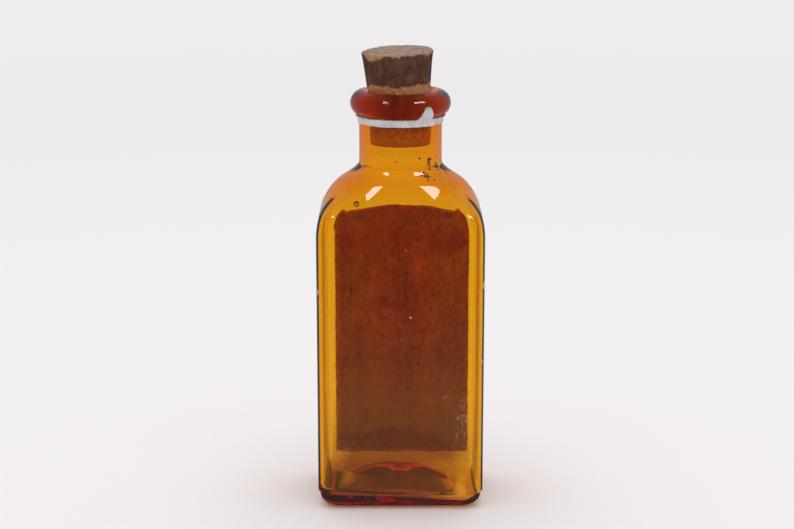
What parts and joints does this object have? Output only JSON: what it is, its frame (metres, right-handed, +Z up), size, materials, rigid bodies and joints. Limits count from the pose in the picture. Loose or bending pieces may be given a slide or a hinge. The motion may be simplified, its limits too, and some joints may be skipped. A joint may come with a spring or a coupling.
{
  "type": "apothecary bottle",
  "caption": "Rectangular amber glass bottle with arched shoulders, round neck and rolled lip, closed by a tapered cork that lifts out, with a plain paper label on the back panel.",
  "frame": {"origin": "middle of the footprint, at the flat rim that the bottle stands on", "axes": "+Z up along the neck, +X to the right and -Y towards a viewer of the bare front panel, so the label faces +Y"},
  "size_m": [0.0486, 0.0342, 0.1342],
  "materials": {
    "amber_glass": "clear amber, glossy",
    "dark_cork": "stained cork, matte",
    "brown_paper": "aged, matte",
    "white_paper": "matte"
  },
  "bodies": {
    "bottle": {"glass_bottle": "amber_glass", "paper_label": "brown_paper", "seal_band": "white_paper"},
    "cork": {"cork_stopper": "dark_cork"}
  },
  "joints": [
    {"name": "cork_pull", "type": "slide", "parent": "bottle", "child": "cork", "axis": [0, 0, 1], "range_m": [0, 0.035]}
  ]
}
